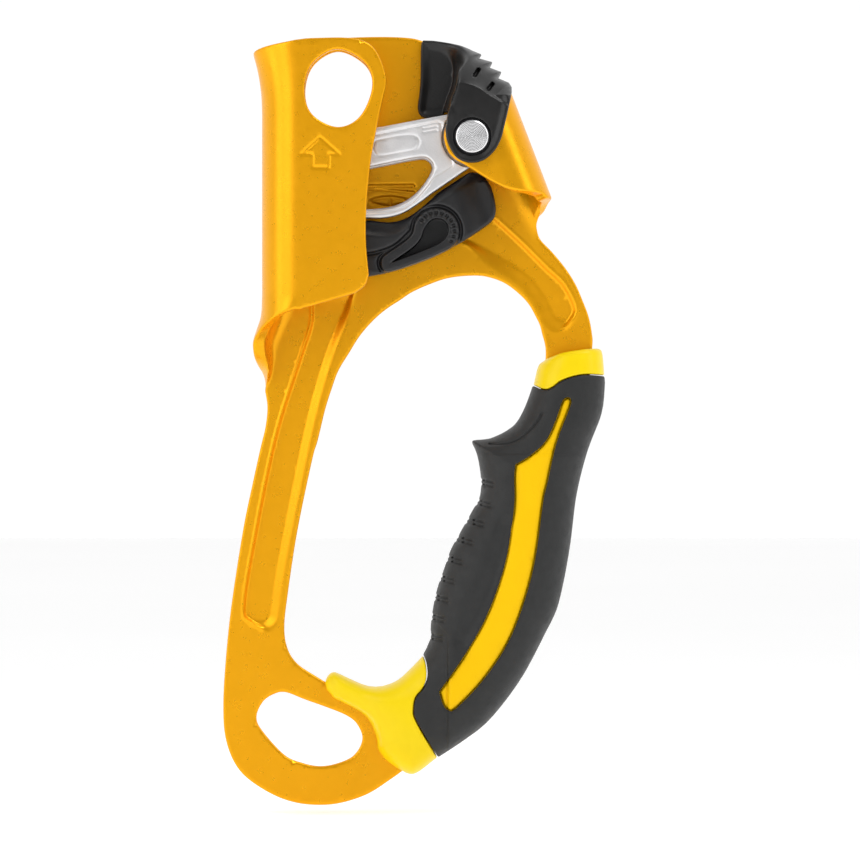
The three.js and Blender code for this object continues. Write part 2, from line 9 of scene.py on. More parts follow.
import bpy
import numpy as np
import openvdb
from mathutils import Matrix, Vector


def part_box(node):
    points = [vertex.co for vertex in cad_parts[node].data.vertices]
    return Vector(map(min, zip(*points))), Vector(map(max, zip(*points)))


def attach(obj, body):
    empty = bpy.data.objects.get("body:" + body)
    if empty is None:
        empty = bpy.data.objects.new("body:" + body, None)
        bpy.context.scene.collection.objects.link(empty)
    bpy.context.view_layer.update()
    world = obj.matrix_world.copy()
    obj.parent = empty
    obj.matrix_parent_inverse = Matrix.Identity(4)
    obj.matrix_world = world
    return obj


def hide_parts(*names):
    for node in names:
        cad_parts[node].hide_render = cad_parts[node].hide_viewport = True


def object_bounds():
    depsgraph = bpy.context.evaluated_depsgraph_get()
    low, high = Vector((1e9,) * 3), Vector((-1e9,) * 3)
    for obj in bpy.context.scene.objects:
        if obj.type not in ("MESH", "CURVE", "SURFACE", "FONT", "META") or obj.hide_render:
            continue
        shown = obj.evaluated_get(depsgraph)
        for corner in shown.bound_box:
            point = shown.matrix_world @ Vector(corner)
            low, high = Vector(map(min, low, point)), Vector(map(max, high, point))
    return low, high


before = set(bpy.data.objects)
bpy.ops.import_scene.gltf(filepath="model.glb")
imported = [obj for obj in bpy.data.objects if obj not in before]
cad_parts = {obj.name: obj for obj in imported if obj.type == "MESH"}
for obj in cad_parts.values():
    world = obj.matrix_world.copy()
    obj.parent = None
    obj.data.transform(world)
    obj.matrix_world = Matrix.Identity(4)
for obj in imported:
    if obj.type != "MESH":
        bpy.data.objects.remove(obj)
cad_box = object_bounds()

MM = 0.001


# ---------------------------------------------------------------- places taken from the frame
def node_box(node):
    """Lowest and highest corner of a CAD node, in millimetres."""
    low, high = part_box(node)
    return np.array(low) / MM, np.array(high) / MM


plate_low, plate_high = node_box("frame_plate")
axle_low, axle_high = node_box("cam_axle")
AXLE_X, AXLE_Z = (axle_low[0] + axle_high[0]) / 2, (axle_low[2] + axle_high[2]) / 2

CATCH_X, CATCH_Z = 11.5, -25.5  # the catch's rivet
FAR = 9  # a distance that counts as far from every surface

SHEET = 3.0
AXLE_HOLE = 3.3  # radius of the axle's hole in the sheet
FOLD = 8.0  # radius of the folds at the middle of the sheet, and the plate's middle along Y
FOLD_OUTER = FOLD + SHEET / 2
HALF_TURN = math.pi * FOLD  # length of sheet in one fold
EAR_LEAN = math.radians(21)
EAR_AXIS = AXLE_X + 3.8  # where the ear's fold axis passes the axle's height


# ---------------------------------------------------------------- curves in the XZ plane
def spline(points, closed=False, pieces=8):
    """Points of a smooth curve through the given points."""
    p = np.array(points, float)
    if closed:
        p = np.vstack([p[-1:], p, p[:2]])
    else:
        p = np.vstack([2 * p[0] - p[1], p, 2 * p[-1] - p[-2]])
    t = np.linspace(0, 1, pieces, endpoint=False)[:, None]
    runs = [
        0.5 * (2 * b + (c - a) * t + (2 * a - 5 * b + 4 * c - d) * t**2 + (3 * b - a - 3 * c + d) * t**3)
        for a, b, c, d in zip(p, p[1:], p[2:], p[3:])
    ]
    if not closed:
        runs.append(p[-2:-1])
    return np.vstack(runs)


def outline(*runs):
    """Joins smooth runs into one closed outline, with corners where they meet."""
    return np.vstack([spline(run)[:-1] for run in runs])


def table(at, knots):
    """A smooth curve through (position, value) knots, read at the given positions."""
    dense = spline(sorted(knots))
    return np.interp(at, dense[:, 0], dense[:, 1])


def smooth_step(value, low, high):
    t = np.clip((value - low) / (high - low), 0, 1)
    return t * t * (3 - 2 * t)


def line_distance(points, x, z, closed):
    """Distance to a line of points, for x and z that broadcast together."""
    best = np.full(np.broadcast(x, z).shape, 1e6, np.float32)
    ends = np.roll(points, -1, axis=0) if closed else points[1:]
    for (ax, az), (bx, bz) in zip(points, ends):
        dx, dz = bx - ax, bz - az
        length = max(dx * dx + dz * dz, 1e-9)
        t = np.clip(((x - ax) * dx + (z - az) * dz) / length, 0, 1)
        np.minimum(best, (x - ax - t * dx) ** 2 + (z - az - t * dz) ** 2, out=best)
    return np.sqrt(best)


def is_inside(points, x, z):
    odd = np.zeros(np.broadcast(x, z).shape, bool)
    for (ax, az), (bx, bz) in zip(points, np.roll(points, -1, axis=0)):
        if az != bz:
            spans = (az > z) != (bz > z)
            odd ^= spans & (x < (bx - ax) * (z - az) / (bz - az) + ax)
    return odd


def region(points, x, z):
    """Signed distance to an outline: negative inside it."""
    distance = line_distance(points, x, z, closed=True)
    return np.where(is_inside(points, x, z), -distance, distance)


# ---------------------------------------------------------------- solids as distances
class Grid:
    """A regular grid of points; x, y and z broadcast over it."""

    def __init__(self, low, high, step):
        axes = [np.arange(a, b + step, step, dtype=np.float32) for a, b in zip(low, high)]
        self.low = np.array([axis[0] for axis in axes])
        self.step = step
        self.x = axes[0][:, None, None]
        self.y = axes[1][None, :, None]
        self.z = axes[2][None, None, :]

    def region(self, points):
        return region(points, self.x, self.z)

    def line(self, points):
        return line_distance(np.array(points, float), self.x, self.z, closed=False)


def cut(a, b, radius):
    """The part of a inside b, with the edge between them rounded."""
    corner = np.hypot(np.maximum(a + radius, 0), np.maximum(b + radius, 0))
    return np.minimum(np.maximum(a, b), -radius) + corner


def fuse(a, b, radius):
    """a and b together, with a fillet between them."""
    return -cut(-a, -b, radius)


def engrave(solid, mask, depth, soft=0.3):
    """Moves the surface in by depth where mask is negative, with walls `soft` wide."""
    return solid + depth * smooth_step(-mask, -soft / 2, soft / 2)


def true_distance(value, grid):
    """Turns a smooth field that is zero on a surface into a distance near that surface."""
    slopes = np.gradient(value, grid.step)
    steep = np.sqrt(sum(s * s for s in slopes))
    return value / np.maximum(steep, 1e-4)


def steepness(height, grid):
    """How much longer the slope of a height field is than its plan, at each place."""
    slope = np.gradient(height[:, 0, :], grid.step)
    return np.sqrt(1 + slope[0] ** 2 + slope[1] ** 2)[:, None, :]


def capsule(grid, a, b, radius, tip_radius=None):
    """A round bar between two points, which may taper."""
    tip_radius = radius if tip_radius is None else tip_radius
    d = [q - p for p, q in zip(a, b)]
    px, py, pz = grid.x - a[0], grid.y - a[1], grid.z - a[2]
    t = np.clip((px * d[0] + py * d[1] + pz * d[2]) / sum(v * v for v in d), 0, 1)
    distance = np.sqrt((px - t * d[0]) ** 2 + (py - t * d[1]) ** 2 + (pz - t * d[2]) ** 2)
    return distance - radius - t * (tip_radius - radius)


# ---------------------------------------------------------------- meshes
def add_piece(name, verts, faces, body, material, nodes):
    mesh = bpy.data.meshes.new(name)
    mesh.from_pydata(verts, [], faces)
    mesh.validate()
    mesh.polygons.foreach_set("use_smooth", np.ones(len(mesh.polygons), bool))
    mesh.materials.append(material)
    obj = bpy.data.objects.new(name, mesh)
    bpy.context.scene.collection.objects.link(obj)
    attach(obj, body)
    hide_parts(*nodes)
    return obj


def read_field(field, points):
    """Reads a field between its grid points; points count in grid steps."""
    limit = np.array(field.shape) - 2
    corner = np.clip(points.astype(np.int32), 0, limit)
    part = points - corner
    total = np.zeros(len(points))
    for step in np.ndindex(2, 2, 2):
        share = np.prod(np.where(step, part, 1 - part), axis=1)
        total += share * field[tuple((corner + step).T)]
    return total


def solid_piece(name, grid, field, body, material, nodes, adaptivity=0.02):
    """Makes a piece from a distance field, whose slopes give the mesh its normals."""
    band = 3 * grid.step
    volume = openvdb.FloatGrid(band)
    volume.copyFromArray(np.clip(field, -band, band).astype(np.float32))
    points, triangles, quads = volume.convertToPolygons(isovalue=0.0, adaptivity=adaptivity)
    verts = (points * grid.step + grid.low) * MM
    faces = quads.tolist() + triangles.tolist()
    obj = add_piece(name, verts.tolist(), faces, body, material, nodes)
    normals = np.stack([read_field(slope, points) for slope in np.gradient(field)], axis=1)
    normals /= np.maximum(np.linalg.norm(normals, axis=1, keepdims=True), 1e-6)
    obj.data.normals_split_custom_set_from_vertices(normals.tolist())
    return obj


def lathe_piece(name, centre, profile, body, material, nodes, sides=96):
    """Makes a round piece about a Y axis from a closed profile of (radius, y) points."""
    verts = []
    for i in range(sides):
        angle = 2 * math.pi * i / sides
        for r, y in profile:
            x = centre[0] + r * math.cos(angle)
            z = centre[1] + r * math.sin(angle)
            verts.append((x * MM, y * MM, z * MM))
    n = len(profile)
    faces = []
    for i in range(sides):
        j = (i + 1) % sides
        for k in range(n):
            m = (k + 1) % n
            faces.append((i * n + m, j * n + m, j * n + k, i * n + k))
    obj = add_piece(name, verts, faces, body, material, nodes)
    weighted = obj.modifiers.new("flat_faces_lead", "WEIGHTED_NORMAL")
    weighted.weight = 60
    return obj


# ---------------------------------------------------------------- materials
def new_material(name):
    material = bpy.data.materials.new(name)
    material.use_nodes = True
    nodes = material.node_tree.nodes
    return material, nodes, material.node_tree.links, nodes["Principled BSDF"]


def mottle(nodes, links, scale, detail, low, high):
    """Noise in the object's own space, spread between two values."""
    place = nodes.new("ShaderNodeTexCoord")
    noise = nodes.new("ShaderNodeTexNoise")
    noise.inputs["Scale"].default_value = scale
    noise.inputs["Detail"].default_value = detail
    spread = nodes.new("ShaderNodeMapRange")
    spread.inputs["From Min"].default_value = 0.3
    spread.inputs["From Max"].default_value = 0.7
    spread.inputs["To Min"].default_value = low
    spread.inputs["To Max"].default_value = high
    links.new(place.outputs["Object"], noise.inputs["Vector"])
    links.new(noise.outputs["Fac"], spread.inputs["Value"])
    return spread.outputs["Result"]


def grain(nodes, links, shader, scale, height):
    """A fine bump from noise; height is in millimetres."""
    bump = nodes.new("ShaderNodeBump")
    bump.inputs["Distance"].default_value = height * MM
    links.new(mottle(nodes, links, scale, 3, 0, 1), bump.inputs["Height"])
    links.new(bump.outputs["Normal"], shader.inputs["Normal"])


def blend_colours(nodes, links, factor, a, b):
    mix = nodes.new("ShaderNodeMix")
    mix.data_type = "RGBA"
    mix.inputs["A"].default_value = (*a, 1)
    mix.inputs["B"].default_value = (*b, 1)
    links.new(factor, mix.inputs["Factor"])
    return mix.outputs["Result"]


def plain_material(name, colour, other, roughness, metallic=0.0, grain_scale=4000, grain_height=0.01,
                   spots=220, specular=0.5):
    """A finish whose colour and roughness drift a little over the surface, with a fine grain."""
    material, nodes, links, shader = new_material(name)
    shader.inputs["Metallic"].default_value = metallic
    shader.inputs["Specular IOR Level"].default_value = specular
    drift = mottle(nodes, links, spots, 4, 0, 1)
    links.new(blend_colours(nodes, links, drift, colour, other), shader.inputs["Base Color"])
    rough = mottle(nodes, links, spots * 2.3, 4, roughness * 0.88, roughness * 1.12)
    links.new(rough, shader.inputs["Roughness"])
    grain(nodes, links, shader, grain_scale, grain_height)
    return material


GOLD = plain_material("gold_anodised", (0.92, 0.415, 0.001), (0.89, 0.4, 0.0), 0.3, 0.6, 3000, 0.003,
                      specular=0.35)
STEEL = plain_material("bright_steel", (0.55, 0.55, 0.56), (0.5, 0.5, 0.51), 0.32, 1.0, 2500, 0.006)
CAM_STEEL = plain_material("cam_steel", (0.78, 0.78, 0.79), (0.69, 0.69, 0.7), 0.45, 0.75, 2500, 0.014)
# Dark steel for the springs. On the front washer the same dark colour is painted shade for the gap between
# the axle head and the cover.
DARK_STEEL_AND_GAP_SHADE = plain_material("dark_steel", (0.03, 0.03, 0.032), (0.025, 0.025, 0.027), 0.35, 1.0)
COVER_BLACK = plain_material("cover_black", (0.006, 0.0055, 0.0055), (0.004, 0.004, 0.004), 0.34, 0,
                             5000, 0.01)
CATCH_BLACK = plain_material("catch_black", (0.008, 0.008, 0.009), (0.006, 0.006, 0.007), 0.38, 0,
                             5000, 0.012)
RUBBER = plain_material("grip_rubber", (0.018, 0.0185, 0.0185), (0.014, 0.0145, 0.0145), 0.55, 0, 4000, 0.02,
                        specular=0.4)
LEMON = plain_material("lemon_nylon", (0.92, 0.68, 0.003), (0.89, 0.65, 0.002), 0.33, 0, 3500, 0.006,
                       specular=0.2)
# Painted shade: the core is the same lemon nylon as the collar and guard, coloured a deeper yellow for the
# shade in the recessed inlay.
LEMON_PAINTED_SHADE = plain_material("lemon_nylon_painted_shade", (0.94, 0.56, 0.0), (0.91, 0.54, 0.0), 0.45, 0, 3500, 0.008,
                        specular=0.12)


def turned_material():
    """Steel with the fine rings that a lathe leaves on the axle's head."""
    material, nodes, links, shader = new_material("turned_axle")
    shader.inputs["Metallic"].default_value = 1.0
    drift = mottle(nodes, links, 220, 4, 0, 1)
    links.new(blend_colours(nodes, links, drift, (0.78, 0.78, 0.79), (0.7, 0.7, 0.71)),
              shader.inputs["Base Color"])
    shader.inputs["Roughness"].default_value = 0.26
    place = nodes.new("ShaderNodeTexCoord")
    centred = nodes.new("ShaderNodeMapping")
    centred.inputs["Location"].default_value = (-AXLE_X * MM, 0, -AXLE_Z * MM)
    rings = nodes.new("ShaderNodeTexWave")
    rings.wave_type = "RINGS"
    rings.rings_direction = "Y"
    rings.inputs["Scale"].default_value = 900
    rings.inputs["Distortion"].default_value = 0.6
    bump = nodes.new("ShaderNodeBump")
    bump.inputs["Distance"].default_value = 0.03 * MM
    links.new(place.outputs["Object"], centred.inputs["Vector"])
    links.new(centred.outputs["Vector"], rings.inputs["Vector"])
    links.new(rings.outputs["Fac"], bump.inputs["Height"])
    links.new(bump.outputs["Normal"], shader.inputs["Normal"])
    return material


TURNED = turned_material()


# ---------------------------------------------------------------- frame plate
def bend_start(z):
    """Where the flat plate starts to curve into the channel, at each height."""
    return table(z, [(-170, -60), (-80, -40), (-72, -20), (-68, -13.5), (-65, -10.7), (-62, -8.7),
                     (-59, -7.3), (-56, -6.5), (-54, -6), (-50, -5), (-44, -2.3), (-40, -0.3), (-37, 0),
                     (-30, 0), (30, 0)])


def channel_left(z):
    """The channel's outermost X, at each height; both mouths flare."""
    return table(z, [(-70, -10.4), (-62, -10.3), (-59, -10.5), (-56, -11), (-53, -11.6), (-50.4, -11.75),
                     (-47.5, -10.9), (-44, -9.8), (-39, -9.5), (-33, -9.5), (0, -9.5), (6, -9.5),
                     (11, -9.75), (16, -10.5), (21, -11.8), (27, -13.6)])


def ear_place(x, z):
    """Distance across the ear's fold axis, positive to the right, and along it."""
    across = (x - EAR_AXIS) * math.cos(EAR_LEAN) + z * math.sin(EAR_LEAN)
    along = z * math.cos(EAR_LEAN) - (x - EAR_AXIS) * math.sin(EAR_LEAN)
    return across, along


FRONT = -HALF_TURN  # the flat pattern's U where the cheek's flat part starts

sheet_pattern = outline(
    [(-12.6, 20.7), (-6, 22.3), (0, 23.9), (10, 24.9), (20, 25.2), (27, 24.9), (30.5, 24), (34, 22.6),
     (40, 20), (46.5, 14.8), (48.9, 9)],
    [(48.9, 9), (59.3, -18.3)],
    [(59.3, -18.3), (58.4, -20.8), (58.4, -22.5), (59.3, -25), (62.3, -28.2), (65.5, -32.1), (68, -36.1),
     (69.7, -40), (71.2, -44), (72, -48), (72.1, -52), (70.5, -66), (64.8, -88), (60.3, -113), (50, -132.5),
     (33, -151), (24.8, -156.7)],
    [(24.8, -156.7), (22.3, -158.5), (16.7, -162.1), (10.7, -164.2), (5.3, -164.9), (-0.9, -164.4),
     (-6.8, -162.4), (-13, -158.5), (-16.4, -154.5), (-18.5, -149), (-19.2, -142.7), (-18.9, -132.8),
     (-17.4, -117), (-14.4, -97.3), (-12.1, -86), (-10, -76.5), (-8.8, -71.5), (-8.3, -67), (-8.6, -63.9),
     (-9.3, -61.3), (-10.9, -59), (-13.6, -56.6), (-16.1, -53.5), (-16.9, -50), (-18.4, -47), (-21.3, -44.2),
     (FRONT, -42.4), (FRONT - 3.8, -41.3), (FRONT - 13.4, -38.5)],
    [(FRONT - 13.4, -38.5), (FRONT - 15.9, -36.6), (FRONT - 16.9, -33.9)],
    [(FRONT - 16.9, -33.9), (FRONT - 16.2, -25.2), (FRONT - 16.4, -16.3), (FRONT - 17.4, -6),
     (FRONT - 18.9, 2.4), (FRONT - 20.1, 8.1), (FRONT - 21.2, 13.8), (FRONT - 19.6, 19.4),
     (FRONT - 16.9, 22.9), (FRONT - 12.2, 24.3), (FRONT - 3.8, 24.3), (FRONT, 24), (FRONT + 3, 23.2),
     (-12.6, 20.7)],
)

handle_hole = spline([(24.5, -40), (27.5, -38), (31.7, -36.1), (36.5, -34.5), (42.3, -33.9), (46.5, -34.3),
                      (51, -36.1), (55.6, -40), (58.1, -44), (59.6, -47.9), (60.4, -56), (55.7, -78),
                      (51, -102), (44, -121), (33, -134), (18, -139.5), (10, -136.6), (3.5, -132.9),
                      (-0.9, -129.9), (-3.3, -126.2), (-4.1, -121), (-3.3, -113.1), (-0.9, -97.3),
                      (2.8, -79.5), (4.2, -74.6), (6, -67.1), (7.7, -61.7), (9.3, -57.4), (11.9, -53.1),
                      (14.6, -48.8), (17.8, -45.1), (21, -42.3)], closed=True)

upper_hole = spline([(1.1, 11.4), (3.1, 18), (9.3, 21.5), (16, 18), (17.7, 12.2), (14.7, 5), (9.2, 2.4),
                     (3, 5.5)], closed=True)

lower_hole = spline([(-11, -143.2), (-9.5, -139.5), (-6.8, -137.5), (-3.8, -137), (1, -138.8), (6.3, -140.7),
                     (11.2, -142.7), (13.9, -144.9), (15.2, -148.6), (13.2, -152.5), (9.3, -154.5),
                     (4.8, -155.3), (0.4, -154.5), (-4.1, -152.5), (-9.5, -146.6)], closed=True)

# The floors of the two pressed grooves.
leg_groove = outline(
    [(3.1, -26), (3.1, -38), (3.1, -45.5), (0.4, -54.1), (-6, -74.6), (-12, -104.2), (-13.7, -116.3),
     (-12.5, -118.9), (-10.2, -119.6), (-8.3, -118.7), (-7.6, -116), (-5.8, -104.2), (0.1, -74.6),
     (4.1, -58.8), (8, -47.7), (12.5, -38), (16, -26)],
    [(16, -26), (3.1, -26)],
)
arm_groove = outline(
    [(33, -20), (39, -24), (46.8, -27.7), (54.7, -32.6), (58.6, -36.4), (61.8, -41.3), (63, -44),
     (65.2, -45), (67, -43.2), (66.8, -41), (64.3, -36.4), (60.3, -32.6), (54.2, -26.5), (48, -20.8),
     (43, -16), (38, -11)],
    [(38, -11), (33, -20)],
)

# A plain arrow that points up the rope, drawn as a line.
arrow_line = [(4.9, -0.1), (9.7, -4.3), (7, -4.3), (7, -7.6), (3, -7.6), (3, -4.3), (0.3, -4.3), (4.9, -0.1)]


def groove_depth(x, z):
    """How far the plate is pressed back: a narrow wall outside, a wide one on the loop's side."""
    depth = 0.9
    to_loop = region(handle_hole, x, z)
    total = 0
    # Both grooves run out, the leg's under the cheek and the arm's under the catch.
    leg_share = smooth_step(z, -29, -41)
    arm_share = smooth_step(x - 0.6 * (z + 24), 36, 43)
    for floor, outer_wall, loop_wall, share in ((leg_groove, 1.0, 2.9, leg_share),
                                                (arm_groove, 1.6, 3.6, arm_share)):
        away = region(floor, x, z)
        wall = outer_wall + (loop_wall - outer_wall) * smooth_step(away + to_loop, 9, 6)
        level = np.clip(away / wall, 0, 1)
        # A straight wall with its upper and lower corner rounded.
        total = total + share * depth * (1 - 0.3 * level - 0.7 * smooth_step(level, 0, 1))
    return total


def plate_middle(x, z):
    """Y of the sheet's middle in the flat back, at each place seen from the front."""
    across, _ = ear_place(x, z)
    inside_fold = np.clip(across, 0, FOLD * 0.8)
    ear_bend = FOLD - np.sqrt(FOLD**2 - inside_fold**2)
    return FOLD + groove_depth(x, z) - ear_bend * smooth_step(z, -26, -16.5)


def read_pattern(pattern, first, step, u):
    """Reads a table of (u, z) at u, for u given on the whole grid."""
    at = np.clip((u - first) / step, 0, pattern.shape[0] - 1.001)
    low = at.astype(np.int32)
    part = at - low
    rows = np.broadcast_to(np.arange(pattern.shape[1]), u.shape)
    return pattern[low, rows] * (1 - part) + pattern[low + 1, rows] * part


def folded_sheet(grid, start, mid_width, pattern_points, u_range, middle):
    """The sheet with the channel folded to the front on its left."""
    x, y, z = grid.x, grid.y, grid.z
    px, py = (x - start) / mid_width, y / FOLD
    rho = np.hypot(px, py)
    stretch = np.sqrt((px / mid_width) ** 2 + (py / FOLD) ** 2)
    angle = np.arctan2(-px, py)
    in_fold = x < start
    side = np.where(in_fold, np.abs(rho - 1) * rho / np.maximum(stretch, 1e-4), 0)
    flat = np.where(y > 0, np.abs(y - middle), np.abs(y + FOLD))
    side = np.where(in_fold, side, flat)
    turned = start * (1 - angle / math.pi) - FOLD * angle
    u = np.where(in_fold, turned, np.where(y > 0, x, FRONT - np.maximum(x, 0)))
    columns = np.arange(u_range[0], u_range[1], grid.step)[:, None]
    pattern = region(pattern_points, columns, z[0])
    return side, read_pattern(pattern, u_range[0], grid.step, u)


ear_front_points = [(41, 9.3), (37.6, 6.2), (35.4, 1), (36.2, -3.3), (38.1, -5.5), (40.3, -6.8)]
ear_bottom_points = [(40.3, -6.8), (47.5, -11.2), (52.4, -13.1), (57, -13.5), (59.8, -13.9), (61.2, -14.9)]


def ear_pattern():
    """The ear's outline in the flat: length round the fold, and place along its axis."""
    def unfold(points):
        flat = []
        for x, z in points:
            across, along = ear_place(x, z)
            turn = math.pi - math.asin(min(max(across, 0) / FOLD_OUTER, 1))
            flat.append((FOLD * turn - min(across, 0), along))
        return flat
    rear = [(9.5, -20.3), (6.3, -22), (5, -22.6)]
    top = 8.5
    return outline(
        unfold(ear_front_points),
        unfold(ear_bottom_points) + rear,
        [(5, -22.6), (4, -16), (-3, -14)],
        [(-3, -14), (-3, top)],
        [(-3, top), unfold(ear_front_points)[0]],
    )


def ear(grid):
    x, y, z = grid.x, grid.y, grid.z
    across, along = ear_place(x, z)
    in_fold = across > 0
    side = np.where(in_fold, np.abs(np.hypot(across, y) - FOLD), np.abs(np.abs(y) - FOLD))
    u = np.where(in_fold, FOLD * np.arctan2(across, y), np.where(y > 0, across, HALF_TURN - across))
    points = ear_pattern()
    first_u, last_u = -6, 48
    first_along, last_along = -32, 16
    us = np.arange(first_u, last_u, grid.step)[:, None]
    alongs = np.arange(first_along, last_along, grid.step)[None, :]
    pattern = region(points, us, alongs)
    i = np.clip((u - first_u) / grid.step, 0, pattern.shape[0] - 1.001)
    along = np.broadcast_to(along, u.shape)
    j = np.clip((along - first_along) / grid.step, 0, pattern.shape[1] - 1.001)
    i0, j0 = i.astype(np.int32), j.astype(np.int32)
    fi, fj = i - i0, j - j0
    low = pattern[i0, j0] * (1 - fj) + pattern[i0, j0 + 1] * fj
    high = pattern[i0 + 1, j0] * (1 - fj) + pattern[i0 + 1, j0 + 1] * fj
    return side, low * (1 - fi) + high * fi


def window_marks(grid):
    """Shallow pressed lines in the back plate, seen through the cam's window."""
    upper = grid.line([(8, -11.9), (27.9, -11.7)])
    lower = grid.line([(8, -12.2), (20, -12.6), (27.9, -13.4)])
    lens = np.abs(grid.region(spline([(17.1, -15.6), (22, -14.5), (26.6, -15.6), (22, -16.8)], closed=True)))
    stroke = grid.line([(22.1, -15), (22.1, -16.4)])
    return np.minimum(np.minimum(upper, lower), np.minimum(lens, stroke)) - 0.3


def frame_plate():
    edge = 0.4  # rounding of the sheet's edges
    margin = 1.2
    grid = Grid(plate_low - margin, plate_high + margin, 0.3)
    z = grid.z
    start = bend_start(z)
    mid_width = np.maximum(start - channel_left(z) - SHEET / 2, 2.3)
    middle = plate_middle(grid.x, grid.z)
    side, pattern = folded_sheet(grid, start, mid_width, sheet_pattern, (-52, 76), middle)
    side = np.where((grid.x >= start) & (grid.y > 0), side / steepness(middle, grid), side)
    solid = cut(side - SHEET / 2, pattern, edge)
    del side, pattern
    ear_side, ear_cut = ear(grid)
    near = grid.x > EAR_AXIS - 14
    ear_solid = np.where(near, cut(ear_side - SHEET / 2, ear_cut, edge), FAR)
    solid = np.minimum(solid, ear_solid)
    del ear_side, ear_cut, ear_solid
    for hole in (handle_hole, upper_hole, lower_hole):
        solid = cut(solid, -grid.region(hole), edge)
    solid = cut(solid, AXLE_HOLE - np.hypot(grid.x - AXLE_X, grid.z - AXLE_Z), 0.3)
    solid = engrave(solid, np.where((grid.y > 0) & (grid.y < FOLD), window_marks(grid), FAR), 0.5, 0.5)
    arrow = np.where(grid.y < -FOLD, grid.line(arrow_line) - 0.28, FAR)
    solid = engrave(solid, arrow, 0.22, 0.4)
    return solid_piece("frame_plate_sheet", grid, solid, "frame", GOLD, ["frame_plate"],
                       adaptivity=0.004)


# ---------------------------------------------------------------- grip
grip_left = spline([(60.9, -49), (60.4, -52.5), (59.3, -55), (58.4, -56.9), (57.4, -61), (55, -67.4),
                    (52.2, -71.4), (47, -74.1), (43, -74.6), (42.4, -75.3), (43.6, -78.2), (44.5, -83.5),
                    (44.3, -88.4), (42.3, -92.3), (39.4, -97.5), (37.1, -101.7), (35.2, -107.1),
                    (33.9, -110.8), (32.9, -115), (32.2, -119.7), (31.9, -123.9), (30.6, -127),
                    (29.4, -128.6), (26.8, -131.3), (23.7, -134), (19.9, -135.4), (16.4, -135.3),
                    (12.7, -133.8), (9.5, -132.3), (8, -131.9), (6.3, -132.8), (4, -136)])
grip_right = spline([(73.5, -47), (74.2, -50), (74.9, -54.3), (75.2, -58.8), (75.2, -62), (74.4, -68.2),
                     (70.9, -77.5), (68.2, -88.4), (66.5, -101.7), (63.8, -115), (60.6, -122.2),
                     (54.4, -133.8), (46.8, -143.7), (40.5, -148.8), (33.9, -153.2), (31.2, -155.3),
                     (29, -156.9), (27.3, -157.4), (25.3, -156.8), (23.3, -155.7), (20.5, -153.4),
                     (18.9, -151), (18.6, -148.5), (17.2, -144.8), (15.2, -142.4), (12, -140.5),
                     (8.3, -138.7), (6.8, -137.4), (4, -137)])
grip_outline = np.vstack([grip_left, grip_right[::-1]])

# The collar's upper edge and the guard's left end close the grip.
grip_ends = outline(
    [(5.8, -134.4), (6.2, -132.6), (8, -130)],
    [(8, -130), (40, -60), (57, -54)],
    [(57, -54), (59.4, -54.9), (61, -54.3), (64.3, -53), (68, -52.3), (71.7, -51.9), (76, -51.8)],
    [(76, -51.8), (80, -54), (80, -150), (30, -165), (8, -145)],
    [(8, -145), (6.6, -137.4), (5.8, -134.4)],
)

collar_edge = [(50, -57.6), (57.4, -61), (60.2, -62.1), (62.1, -61.6), (64.3, -60), (67.7, -58.8),
               (70.9, -58.4), (75.1, -58.7), (80, -59.2)]
collar_region = outline(collar_edge, [(80, -59.2), (80, -45), (50, -45), (50, -57.6)])

guard_edge = [(27.9, -126.4), (30.2, -127.9), (31.1, -130.6), (31.1, -133.7), (30.1, -136),
              (28.5, -137.9), (27.9, -140.7), (28.5, -143.8), (33.9, -153.2), (36, -157)]
guard_region = outline(guard_edge, [(36, -157), (36, -165), (0, -165), (0, -120), (27.9, -126.4)])

inlay_window = outline(
    [(66.5, -64.2), (65.6, -64.1), (64.5, -65.2), (63, -69.6), (60.5, -74.8), (56.6, -78.4), (53, -80.6)],
    [(53, -80.6), (52.7, -84), (52.7, -90.6), (51.2, -101.7), (48.7, -110.8), (45.3, -119.2),
     (41.1, -126.6), (36.6, -133.3), (34.2, -136.6)],
    [(34.2, -136.6), (35.2, -139.8), (36.5, -141.2), (38.4, -140.7), (45, -133.8), (51, -124.9),
     (55, -115), (57.9, -103.9), (59.8, -90.1), (60.8, -85.5), (63.2, -75.1), (66.6, -66), (66.5, -64.2)],
)

SKIN = 1.4  # thickness of the rubber
GRIP_SQUARENESS = 2.67  # 2 would make the grip's section an ellipse


def grip_thickness(x, z):
    """Half of the grip's thickness along Y."""
    towards_tail = x + np.maximum(0, z + 128)
    tail = table(towards_tail, [(3, 3.6), (6.5, 4.4), (9, 5.8), (13, 6.8), (16, 7.6), (19.5, 9.1), (24, 9.9),
                                (29, 10.5), (33, 10.9), (38, 11.4), (42, 11.8), (47, 12), (220, 12)])
    top = table(z, [(-170, 12), (-86, 12), (-80, 11.8), (-72, 11.4), (-67, 11), (-60.5, 10.5), (-56, 9.8),
                    (-52, 8.8), (-45, 7.5)])
    return np.minimum(tail, top)


def grip_skin(grid):
    """Distance to the whole grip's outer skin."""
    inside = is_inside(grip_outline, grid.x, grid.z)
    left, right = grid.line(grip_left), grid.line(grip_right)
    left = np.where(~inside & (left < right), -left, left)
    right = np.where(~inside & (right <= left), -right, right)
    across = (left - right) / np.maximum(left + right, 0.5)
    deep = (grid.y - FOLD) / grip_thickness(grid.x, grid.z)
    n = GRIP_SQUARENESS
    tube = (np.abs(across) ** n + np.abs(deep) ** n) ** (1 / n) - 1
    tube = true_distance(tube, grid)
    return cut(tube, grid.region(grip_ends), 1.2)


def plate_room(grid, gap=0.3):
    """The plate's place inside the grip."""
    flat = np.maximum(grid.region(sheet_pattern), -grid.region(handle_hole))
    return np.maximum(flat - gap, np.abs(grid.y - FOLD) - SHEET / 2 - gap)


